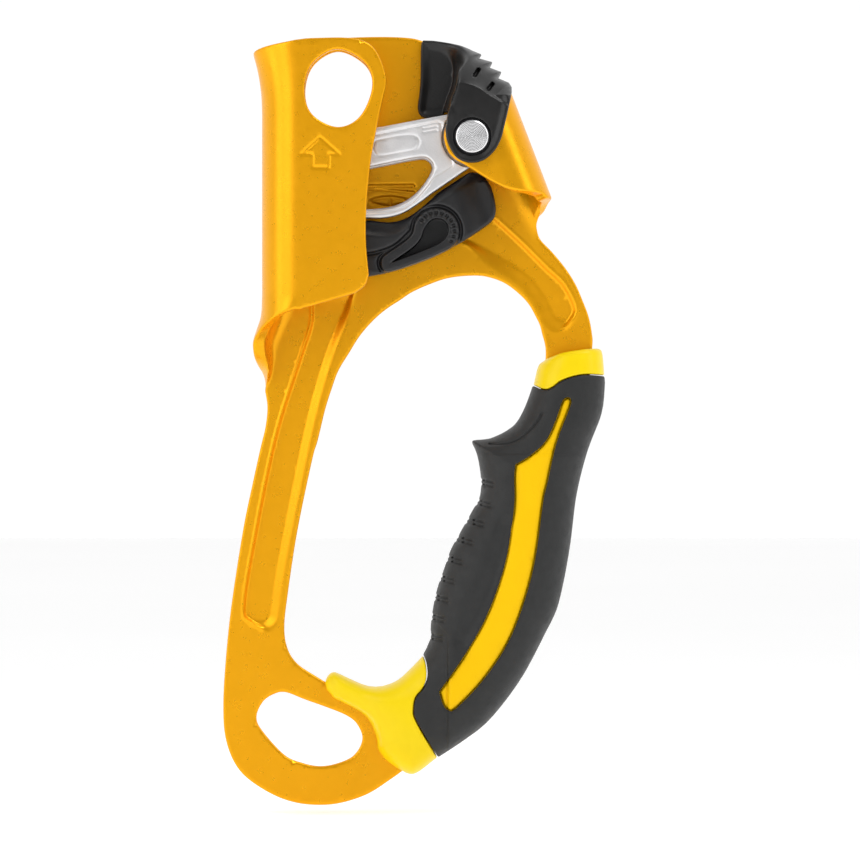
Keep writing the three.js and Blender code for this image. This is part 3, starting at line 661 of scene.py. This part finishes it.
ridge_ends = [(47.6, -85.5), (46.9, -90.6), (45.1, -95.3), (42.4, -99.8), (39.8, -104.6), (37.8, -109.4),
              (36.4, -114.1), (35.4, -118.9), (35.0, -123.7)]


def finger_ridges(grid):
    """Pairs of short slots, deep at their inner ends, which run out over the grip's left side."""
    cuts = np.full(np.broadcast(grid.x, grid.z).shape, FAR, np.float32)
    notches = cuts.copy()
    for x, z in ridge_ends:
        for offset in (0.5, -0.5):
            inner = (x, z + offset)
            middle = (x - 2.2, z + offset + 0.45)
            outer = (x - 9, z + offset + 1.6)
            cuts = np.minimum(cuts, grid.line([inner, middle]) - 0.24)
            notches = np.minimum(notches, grid.line([middle, outer]) - 0.3)
    return cuts, notches


def grip_rubber():
    grid = Grid((26, -5, -155), (77, 21, -57), 0.25)
    skin = grip_skin(grid)
    window = grid.region(inlay_window)
    # A hollow between the finger ridges and the inlay, deepest beside the inlay.
    hollow_line = grid.line(spline([(51.3, -96), (49, -104), (46.6, -111), (43.3, -118), (40.2, -124)]))
    outer = skin + 1.0 * np.exp(-((hollow_line / 2.1) ** 2))
    slots, notches = finger_ridges(grid)
    outer = engrave(outer, slots, 0.45, 0.35)
    outer = engrave(outer, notches, 0.28, 0.5)
    line = grid.line(spline([(59.6, -67.9), (58.3, -70.2), (56.4, -72.3), (54.4, -74), (52.2, -75.1),
                             (49.4, -75.6), (46.5, -75.6)]))
    outer = engrave(outer, line - 0.17, 0.45, 0.3)
    shell = cut(outer, -(skin + SKIN), 0.1)
    shell = cut(shell, -window, 0.35)
    shell = cut(shell, 0.12 - grid.region(collar_region), 0.35)
    shell = cut(shell, 0.12 - grid.region(guard_region), 0.35)
    return solid_piece("grip_rubber_skin", grid, shell, "frame", RUBBER, ["grip_rubber"])


def grip_core(name, side, node):
    """One half of the nylon core; side is -1 for the front half."""
    y_low, y_high = (-4.5, 8.2) if side < 0 else (7.8, 20.5)
    grid = Grid((26, y_low, -155), (76, y_high, -58), 0.3)
    skin = grip_skin(grid)
    window = grid.region(inlay_window)
    inlay = cut(skin + 0.75, window + 0.3, 0.4)
    core = np.minimum(skin + SKIN + 0.15, inlay)
    core = np.maximum(core, 0.2 - grid.region(collar_region))
    core = np.maximum(core, 0.2 - grid.region(guard_region))
    core = np.maximum(core, 0.15 - side * (grid.y - FOLD))
    core = np.maximum(core, -plate_room(grid))
    # The core's deeper yellow is painted shade in the inlay's recess.
    return solid_piece(name, grid, core, "frame", LEMON_PAINTED_SHADE, [node])


def grip_end(name, low, high, part, node):
    """The collar or the guard: the part of the skin inside a region, round the plate."""
    grid = Grid(low, high, 0.22)
    skin = grip_skin(grid) + 0.12
    end = cut(skin, grid.region(part) + 0.12, 0.35)
    end = cut(end, -plate_room(grid), 0.25)
    return solid_piece(name, grid, end, "frame", LEMON, [node])


# ---------------------------------------------------------------- head cover
cover_right = [(52.1, 11), (51.6, 8.5), (50.2, 2.4), (49.3, -0.8), (47.9, -3.4), (45.4, -5.7),
               (42.3, -6.5), (39.4, -5.8), (37.6, -4.1), (36.2, -1.2), (35.7, 2), (35.9, 5.4)]
thumb_steps = [(44.7, 20.8), (44, 19.6), (44.5, 19.6), (47.4, 18.8), (46.6, 17.3), (47.1, 17.2), (49.6, 16.3),
               (48.7, 14.6), (49.2, 14.5), (51.4, 13.6), (52.1, 12.4), (52.1, 11)]
cover_left = [(35.9, 5.4), (34, 5.1), (31, 5), (29.5, 5.7), (28.9, 7.5), (29.3, 11), (29.6, 15),
              (29.7, 22.5), (30.2, 24.2)]
cover_top = [(30.2, 24.2), (33.7, 24), (39.4, 22.9), (44.7, 20.8)]
cover_outline = np.vstack([outline(cover_left, cover_top), thumb_steps, outline(cover_right)])

# The ridge between the low panel on the left and the block that stands forward of it.
block_edge = [(35.9, 3), (36.2, 5.6), (37.2, 9), (38.4, 12.3), (38.9, 15.5), (38.6, 18.5), (37.2, 20.8),
              (35, 22.3)]
block_region = outline(block_edge, [(35, 22.3), (36, 27), (60, 27), (60, -12), (30, -12), (35.9, 3)])
tongue_top = [(38.2, 11.4), (39.6, 13.2), (41.8, 12.9), (44.3, 11.8), (46.6, 10.2), (50, 8.2), (54, 6)]
tongue_region = outline(tongue_top, [(54, 6), (54, -12), (30, -12), (34.8, 3), (38.2, 11.4)])

COVER_FRONT = -11.5  # Y of the tongue's front
PANEL_FRONT = 3.9  # Y of the low panel's front
EAR_TOP = 9.8  # the ear's upper edge, with a gap
BEHIND_PLATE = 9.8  # Y of the sheet's rear face, with a gap
BEFORE_EAR = -9.8  # Y of the ear's front face, with a gap


def head_cover_front():
    grid = Grid((27.5, -12.2, -8), (54, 7, 26), 0.18)
    x, y, z = grid.x, grid.y, grid.z
    whole = grid.region(cover_outline)
    block = grid.region(block_region)
    tongue = grid.region(tongue_region)
    # Height of the front surface: the tongue stands out most, and the top slopes back from it.
    upper_wall = 5 * smooth_step(z, 15, 23)
    rise = smooth_step(block, 1.3, -0.3 - upper_wall)
    behind_tongue = np.maximum(tongue + 0.1, 0)
    crown = 0.007 * (x - 42.5) ** 2 + 0.004 * (z - 4) ** 2 * (z > 4)
    block_front = COVER_FRONT + crown + behind_tongue * (0.75 + 0.05 * behind_tongue)
    block_front = np.minimum(block_front, PANEL_FRONT - 0.5)
    # The ear ends at EAR_TOP, so the surface stays in front of it up to there.
    block_front = np.minimum(block_front, -10.6 + 1.5 * np.maximum(z - EAR_TOP - 0.4, 0))
    front = PANEL_FRONT - 0.7 * smooth_step(whole, -2.5, 0) - (PANEL_FRONT - block_front) * rise
    outer_round = 0.6 + 2.4 * smooth_step(x, 39, 43) * smooth_step(z, 8, 13)
    face = np.maximum((front - y) / steepness(front, grid), y - 6.2)
    solid = cut(whole, face, outer_round)
    # Behind the tongue is the ear, so only a thin tongue is left below the ear's top edge.
    ear_room = np.maximum(np.maximum(z - EAR_TOP, BEFORE_EAR - y), block)
    cam_room = np.maximum(np.maximum(z - 6.4, BEFORE_EAR - y), 35.3 - x)
    solid = cut(solid, -np.minimum(ear_room, cam_room), 0.2)
    # A thin lip of the cover hides the washer's rim.
    opening = np.where(y < -11, 4.6, 4.85)
    solid = cut(solid, opening - np.hypot(x - AXLE_X, z - AXLE_Z), 0.2)
    for a, b in (((43.9, 16.6), (43.0, 15.1)), ((47.3, 13.0), (46.3, 11.7))):
        solid = engrave(solid, grid.line([a, b]) - 0.38, 1.1, 0.5)
    ridge = grid.line(spline(block_edge[2:-2]))
    solid = solid - 0.3 * np.exp(-((ridge / 0.7) ** 2))
    return solid_piece("head_cover_front_shell", grid, solid, "frame", COVER_BLACK,
                       ["head_cover_front"])


def head_cover_rear():
    grid = Grid((27.5, 5.5, -8), (54, 12.6, 26), 0.2)
    whole = grid.region(cover_outline)
    away = np.hypot(grid.x - AXLE_X, grid.z - AXLE_Z)
    shell = cut(whole, np.maximum(6.5 - grid.y, grid.y - 12), 1.4)
    shell = np.maximum(shell, 5.3 - grid.z)
    plate = grid.region(sheet_pattern) - 0.3
    plate = np.maximum(plate, grid.y - BEHIND_PLATE)
    fold_room = np.maximum(grid.z - EAR_TOP, grid.y - BEHIND_PLATE)
    shell = np.maximum(shell, -np.minimum(plate, fold_room))
    ring = cut(away - 7.4, np.abs(grid.y - 10.9) - 1.1, 0.5)
    bridge = cut(cut(whole, np.abs(grid.y - 10.9) - 1.1, 0.5), np.abs(grid.x - 42.2) - 6.2, 0.5)
    bridge = np.maximum(bridge, np.maximum(-2 - grid.z, grid.z - 6))
    shell = fuse(np.minimum(shell, bridge), ring, 0.5)
    shell = cut(shell, 5.0 - away, 0.3)
    return solid_piece("head_cover_rear_shell", grid, shell, "frame", COVER_BLACK,
                       ["head_cover_rear"])


# ---------------------------------------------------------------- cam
CAM_HALF = 5.2
cam_outline = outline(
    [(42.3, 6.1), (35.8, 5.5), (19.1, 2.4), (4, -0.3)],
    [(4, -0.3), (1.6, -1.3), (-0.4, -4), (-2, -8), (-2.6, -12.5), (-1.6, -17), (1.5, -19.4)],
    [(1.5, -19.4), (10, -19.7), (16.4, -19.8), (20.6, -19.8), (24.8, -18.8), (28.6, -16.6), (32.2, -13.9)],
    [(32.2, -13.9), (41.4, -7.6), (46.7, -4.3)],
    [(46.7, -4.3), (47.5, 2), (42.3, 6.1)],
)
cam_window = outline(
    [(7, -12.6), (7.6, -10.1), (10, -9.1), (17.6, -7.6), (24, -6.3), (29, -5.4), (31.2, -5.6),
     (32.4, -7.3), (31.6, -9.6), (29.2, -12.9), (25.8, -15.6), (21.3, -17.2), (15, -17.6), (10, -16.9),
     (7.6, -15.2), (7, -12.6)],
)
cam_panel = outline(
    [(3, -2.2), (18.9, 0.8), (33.9, 3.8)],
    [(33.9, 3.8), (34.8, 3.4), (34.9, 2.4), (34.9, 0), (35.2, -2.4), (36.4, -4.6), (37.5, -6.1), (37.4, -7)],
    [(37.4, -7), (34.9, -8.7), (32.6, -10.2), (31, -12.4), (27.4, -16.3), (24, -18), (18, -18.7), (3, -18.4)],
    [(3, -18.4), (3, -2.2)],
)
badge = outline([(18.4, -0.9), (22, -0.1), (26.2, 0.5), (28.6, 0.2), (29.3, -1.2), (28.4, -2.9), (25, -3.7),
                 (20.4, -4.5), (18.6, -4.1), (17.9, -2.6), (18.4, -0.9)])


def cam_piece():
    grid = Grid((-5, -6, -30.5), (50, 6.4, 8), 0.2)
    x, y, z = grid.x, grid.y, grid.z
    away = np.hypot(x - AXLE_X, z - AXLE_Z)
    window = grid.region(cam_window)
    body = np.minimum(grid.region(cam_outline), away - 6.2)
    body = np.maximum(body, -window)
    solid = cut(body, np.abs(y) - CAM_HALF, 0.45)
    front = np.where(y < 0, 1.0, 0.0)
    panel = grid.region(cam_panel)
    solid = solid + front * 0.3 * smooth_step(panel, 0.2, -0.3)
    solid = solid + front * 0.25 * np.exp(-((panel / 0.2) ** 2))
    solid = solid + front * 0.25 * np.exp(-(((window - 0.55) / 0.22) ** 2))
    badge_line = np.abs(grid.region(badge))
    solid = solid + front * 0.16 * np.exp(-((badge_line / 0.25) ** 2))
    for top in (2.6, 1.7):
        stroke = grid.line([(30.4, top - 0.5), (33.6, top + 0.1)])
        solid = solid + front * 0.22 * np.exp(-((stroke / 0.25) ** 2))
    tab = np.hypot(x - CATCH_X, np.maximum(0, np.maximum(-z - 25.5, z + 17))) - 3.4
    solid = np.minimum(solid, cut(tab, np.abs(y - 4) - 1.2, 0.3))
    nose = spline([(0.2, -3.1), (-0.9, -5), (-1.7, -7.6), (-2.3, -11), (-2.5, -14), (-1.7, -17)], pieces=2)
    for i, (a, b) in enumerate(zip(nose[:-1], nose[1:])):
        along = (b - a) / np.linalg.norm(b - a)
        outward = np.array([along[1], -along[0]])
        tip = a + 1.15 * (outward + 0.45 * along)
        for row in ((-3, 0, 3) if i % 2 else (-1.5, 1.5)):
            reach = slice(0, int(8 / grid.step)), slice(None), slice(None)
            spot = capsule(grid, (a[0], row, a[1]), (tip[0], row, tip[1]), 0.7, 0.15)
            solid[reach] = np.minimum(solid[reach], spot[reach])
    spring_room = np.maximum(away - 7.4, y + 2.2)
    solid = cut(solid, -spring_room, 0.15)
    solid = cut(solid, 4.7 - away, 0.2)
    solid = cut(solid, 1.8 - np.hypot(x - CATCH_X, z - CATCH_Z), 0.2)
    return solid_piece("cam_casting", grid, solid, "cam", CAM_STEEL, ["cam"])


# ---------------------------------------------------------------- safety catch
CATCH_FRONT, CATCH_REAR = -4.5, 3.8
catch_outline = outline(
    [(11.5, -20.5), (16.4, -20.4), (22, -20.9), (26, -19.9), (30, -17.2), (33.9, -13.6)],
    [(33.9, -13.6), (41.7, -8.5)],
    [(41.7, -8.5), (44.6, -9), (46.6, -11.4), (47.6, -14), (48.2, -17.3), (47.8, -19.8), (46.3, -21.5)],
    [(46.3, -21.5), (43, -23.8), (39.4, -26), (33.2, -29.3), (24.8, -32.4), (17.1, -34.2), (13, -33.9)],
    [(13, -33.9), (9, -31.4), (7.1, -28.2), (6.6, -24.9), (8, -21.9), (11.5, -20.5)],
)
drop_hole = outline([(22.2, -31), (27.5, -27.3), (29.6, -25), (30.6, -22.4), (32.4, -20.3), (34.6, -20.1),
                     (36.2, -21.4), (36.4, -23.5), (35.2, -25.4), (32, -27.2), (22.2, -31)])
HOLE_CENTRE = (33.5, -23.1)


def catch_body():
    grid = Grid((5.5, -5.4, -36), (50, 4.8, -7), 0.17)
    x, y, z = grid.x, grid.y, grid.z
    outside = grid.region(catch_outline)
    hole = grid.region(drop_hole)
    away = np.hypot(x - HOLE_CENTRE[0], z - HOLE_CENTRE[1])
    turn = np.arctan2(z - HOLE_CENTRE[1], x - HOLE_CENTRE[0])
    # The front surface: a rim round the drop, a groove outside it and a scooped upper edge.
    scoop_edge = [(13, -24), (22, -24.8), (28, -21.6), (33.5, -16.8), (38.5, -13.6), (43.5, -11.2)]
    above_edge = z > table(x, [(5, -24), *scoop_edge, (52, -9)])
    scoop = np.where(above_edge, smooth_step(grid.line(spline(scoop_edge)), 0, 3.4), 0)
    collar = np.minimum(away, hole + 3.2)
    in_rim = smooth_step(collar, 5.9, 5.4)
    groove = np.exp(-(((collar - 6.1) / 0.45) ** 2))
    left_step = grid.line(spline([(13.5, -29.2), (19, -28.4), (23.5, -26.6), (27.2, -23.2)]))
    groove = np.maximum(groove, np.exp(-((left_step / 0.5) ** 2)))
    bead_ring = np.exp(-(((away - 4.5) / 0.6) ** 2)) * smooth_step(turn, -0.9, -0.6) * (turn < 2.6)
    between_beads = bead_ring * (0.5 + 0.5 * np.cos(turn * 20))
    # The right end is thinner, because it swings into the ear's fold.
    end = smooth_step(x + 0.35 * z, 32.5, 40)
    front = CATCH_FRONT + 2.0 * scoop + 0.8 * groove - 0.3 * in_rim + 0.65 * between_beads
    front = front + 1.9 * end * (1 - 0.5 * scoop)
    front = np.clip(front, CATCH_FRONT - 0.3, -2.0)
    rear = CATCH_REAR - 1.1 * end
    face = np.maximum((front - y) / steepness(front, grid), y - rear)
    solid = cut(outside, face, 0.9)
    floor = np.maximum(hole, y - 1.2)
    solid = cut(solid, -floor, 0.35)
    spring_room = np.maximum(np.hypot(x - CATCH_X, z - CATCH_Z) - 7.4, -y)
    solid = cut(solid, -spring_room, 0.2)
    solid = cut(solid, 1.8 - np.hypot(x - CATCH_X, z - CATCH_Z), 0.2)
    return solid_piece("catch_lever", grid, solid, "safety_catch", CATCH_BLACK,
                       ["catch_body"])


# ---------------------------------------------------------------- turned parts and springs
def rounded_disc(radius, front, rear, inner=0.0, edge=0.3, steps=5):
    """Profile of a disc or ring with rounded rims, as (radius, y) points."""
    arc = [math.pi / 2 * i / steps for i in range(steps + 1)]
    outer = [(radius - edge + edge * math.sin(a), front + edge - edge * math.cos(a)) for a in arc]
    outer += [(radius - edge + edge * math.cos(a), rear - edge + edge * math.sin(a)) for a in arc]
    hub = max(inner, 0.001)
    rings = [hub + (radius - edge - hub) * share for share in (0, 0.04, 0.35, 0.65, 0.9)]
    return [(r, front) for r in rings] + outer + [(r, rear) for r in reversed(rings)]


def axle():
    head_front, shoulder, formed, rear = -12.4, -11.2, 10.9, 12.4
    radius, shaft = 4.05, 3.0
    face = rounded_disc(radius, head_front, shoulder, edge=0.45)[:-3]
    tail = [(shaft, shoulder), (shaft, formed)]
    head = rounded_disc(radius, formed, rear, edge=0.55)[3:]
    lathe_piece("axle_rivet", (AXLE_X, AXLE_Z), face + tail + head, "frame", TURNED,
                ["cam_axle"])


def turned_parts():
    centre = (AXLE_X, AXLE_Z)
    pivot = (CATCH_X, CATCH_Z)
    # The front washer's dark colour is painted shade in the gap round the axle head.
    lathe_piece("front_washer", centre, rounded_disc(4.7, -10.9, -10.1, 3.3, 0.2), "frame", DARK_STEEL_AND_GAP_SHADE,
                ["axle_front_washer"])
    lathe_piece("rear_washer", centre, rounded_disc(4.7, 9.8, 10.6, 3.3, 0.2), "frame", STEEL,
                ["axle_rear_washer"])
    lathe_piece("bushing", centre, rounded_disc(4.4, -6.2, 6.2, 3.3, 0.3), "frame", STEEL,
                ["cam_bushing"])
    lathe_piece("cover_joining_pin", (32.8, 16), rounded_disc(1.4, 5.2, 10.7, 0, 0.3), "frame", STEEL,
                ["cover_pin"], sides=48)
    rivet = rounded_disc(2.6, -6.1, -5.4, edge=0.25)[:-3] + [(1.5, -5.4), (1.5, 5.9), (0.001, 5.9)]
    lathe_piece("catch_pivot_rivet", pivot, rivet, "cam", STEEL, ["catch_rivet"], sides=48)
    lathe_piece("catch_pivot_washer", pivot, rounded_disc(2.6, 5.5, 6.1, 1.8, 0.15), "cam", STEEL,
                ["catch_rivet_washer"], sides=48)


def coil(name, centre, radius, wire, y_start, pitch, turns, leg, body, node):
    """A torsion spring about a Y axis with two straight legs, swept with a round wire."""
    steps, around = 160, 12
    leg_share = 0.12
    path = []
    for i in range(steps + 1):
        t = i / steps
        along = min(max((t - leg_share) / (1 - 2 * leg_share), 0), 1)
        angle = 2 * math.pi * turns * along
        out = t / leg_share - 1 if t < leg_share else max(0, (t - 1 + leg_share) / leg_share)
        path.append(Vector((
            centre[0] + radius * math.cos(angle) - out * leg * math.sin(angle),
            y_start + pitch * turns * along,
            centre[1] + radius * math.sin(angle) + out * leg * math.cos(angle),
        )))
    verts, faces = [], []
    for i, spot in enumerate(path):
        ahead = path[min(i + 1, steps)] - path[max(i - 1, 0)]
        side = ahead.cross(Vector((0, 1, 0))).normalized()
        up = side.cross(ahead).normalized()
        for k in range(around):
            a = 2 * math.pi * k / around
            verts.append(tuple((spot + wire * (side * math.cos(a) + up * math.sin(a))) * MM))
    for i in range(steps):
        for k in range(around):
            m = (k + 1) % around
            faces.append((i * around + k, (i + 1) * around + k, (i + 1) * around + m, i * around + m))
    faces.append(tuple(range(around)))
    faces.append(tuple(steps * around + k for k in range(around))[::-1])
    add_piece(name, verts, faces, body, DARK_STEEL_AND_GAP_SHADE, [node])


# ---------------------------------------------------------------- stage
FRONT_LIGHT = 0.3  # brightness of the surround on the camera's side
BACK_LIGHT = 1.02  # and behind the object
OBJECT_MIDDLE = Vector((0.03, 0, -0.07))  # metres; the lights point at it


def studio():
    """Long-lens camera square to the front, white surround, pale floor and soft side lights."""
    scene = bpy.context.scene
    scene.view_settings.view_transform = "Standard"
    view_width = 0.2122  # metres across the picture at the object
    view_centre = Vector((0.03195, 0, -0.0721))
    camera = bpy.data.objects.new("camera", bpy.data.cameras.new("camera"))
    camera.data.lens = 400
    camera.data.sensor_width = 36
    distance = view_width * camera.data.lens / camera.data.sensor_width
    camera.data.clip_end = 20
    camera.location = view_centre + Vector((0, -distance, 0))
    camera.rotation_euler = (math.pi / 2, 0, 0)
    scene.collection.objects.link(camera)
    scene.camera = camera

    white_surround(scene)
    add_area("left_softbox", (-0.9, -0.42, 0.1), (0.4, 1.0), 1.8)
    add_area("right_softbox", (0.85, -0.4, 0.35), (0.3, 0.8), 1.6)
    add_area("upper_left_card", (-0.42, -0.55, 0.25), (0.35, 0.6), 1.3)
    add_area("top_light", (0.4, -0.35, 0.7), (0.3, 0.3), 2.2)
    pale_floor(scene)


def white_surround(scene):
    """White all round, darker on the camera's side, where a studio is unlit."""
    world = bpy.data.worlds.new("white_surround")
    scene.world = world
    world.use_nodes = True
    nodes, links = world.node_tree.nodes, world.node_tree.links
    direction = nodes.new("ShaderNodeTexCoord")
    parts = nodes.new("ShaderNodeSeparateXYZ")
    towards_back = nodes.new("ShaderNodeMapRange")
    towards_back.interpolation_type = "SMOOTHSTEP"
    towards_back.inputs["From Min"].default_value = -0.7
    towards_back.inputs["From Max"].default_value = 0.6
    towards_back.inputs["To Min"].default_value = FRONT_LIGHT
    towards_back.inputs["To Max"].default_value = BACK_LIGHT
    links.new(direction.outputs["Generated"], parts.inputs["Vector"])
    links.new(parts.outputs["Y"], towards_back.inputs["Value"])
    nodes["Background"].inputs["Color"].default_value = (1, 1, 1, 1)
    links.new(towards_back.outputs["Result"], nodes["Background"].inputs["Strength"])


def pale_floor(scene):
    material, nodes, links, shader = new_material("pale_floor")
    shader.inputs["Roughness"].default_value = 0.8
    drift = mottle(nodes, links, 3, 2, 0, 1)
    colour = blend_colours(nodes, links, drift, (0.95, 0.95, 0.95), (0.93, 0.93, 0.93))
    links.new(colour, shader.inputs["Base Color"])
    shader.inputs["Emission Color"].default_value = (1, 1, 1, 1)
    shader.inputs["Emission Strength"].default_value = 0.3
    reach = 6
    low = cad_box[0].z - 0.002  # metres; just under the object
    corners = [(-reach, -reach, low), (reach, -reach, low), (reach, reach, low), (-reach, reach, low)]
    mesh = bpy.data.meshes.new("floor")
    mesh.from_pydata(corners, [], [(0, 1, 2, 3)])
    mesh.materials.append(material)
    floor = bpy.data.objects.new("floor", mesh)
    scene.collection.objects.link(floor)


def add_area(name, place, size, power):
    light = bpy.data.lights.new(name, "AREA")
    light.shape = "RECTANGLE"
    light.size, light.size_y = size
    light.energy = power
    obj = bpy.data.objects.new(name, light)
    obj.location = place
    aim = OBJECT_MIDDLE - Vector(place)
    obj.rotation_euler = aim.to_track_quat("-Z", "Y").to_euler()
    bpy.context.scene.collection.objects.link(obj)


studio()
frame_plate()
grip_rubber()
grip_core("core_front_half", -1, "grip_core_front")
grip_core("core_rear_half", 1, "grip_core_rear")
grip_end("collar", (55, -3, -65), (77, 19, -50), collar_region, "top_collar")
grip_end("guard", (3.5, -4.5, -159), (36, 20.5, -125), guard_region, "finger_guard")
head_cover_front()
head_cover_rear()
cam_piece()
catch_body()
axle()
turned_parts()
coil("cam_torsion_spring", (AXLE_X, AXLE_Z), 5.4, 0.45, -5.4, 1.05, 2.25, 4.5, "frame", "cam_spring")
coil("catch_torsion_spring", (CATCH_X, CATCH_Z), 2.4, 0.3, 0.7, 0.72, 1.75, 3.5, "cam", "catch_spring")
